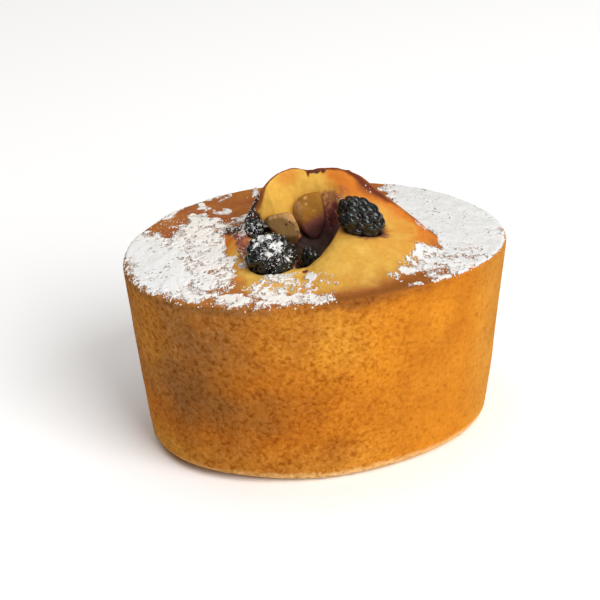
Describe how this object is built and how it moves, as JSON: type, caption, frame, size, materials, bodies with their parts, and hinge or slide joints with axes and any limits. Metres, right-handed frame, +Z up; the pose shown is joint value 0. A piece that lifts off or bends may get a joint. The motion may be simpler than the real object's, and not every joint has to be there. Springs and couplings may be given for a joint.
{
  "type": "friand",
  "caption": "Oval almond friand with a flat crust, a burst dome open to one side, and dark berries and soft fruit lying in the opening.",
  "frame": {"origin": "centre of the cake's box on the surface it stands on", "axes": "+Z up, +X along the oval's long axis to the narrower end, the dome opens towards -Y"},
  "size_m": [0.0878, 0.0624, 0.0623],
  "materials": {
    "cake": "golden baked crumb, matte and finely porous",
    "berry": "black glossy drupelets, partly dusted with icing sugar",
    "fruit": "cooked fruit, moist and slightly see-through",
    "sugar": "dry white icing sugar"
  },
  "bodies": {
    "root": {"cake": "cake", "berry_left": "berry", "berry_right": "berry", "berry_back": "berry", "berry_deep": "berry", "fruit_chunk_large": "fruit", "fruit_chunk_small": "fruit"}
  },
  "joints": []
}
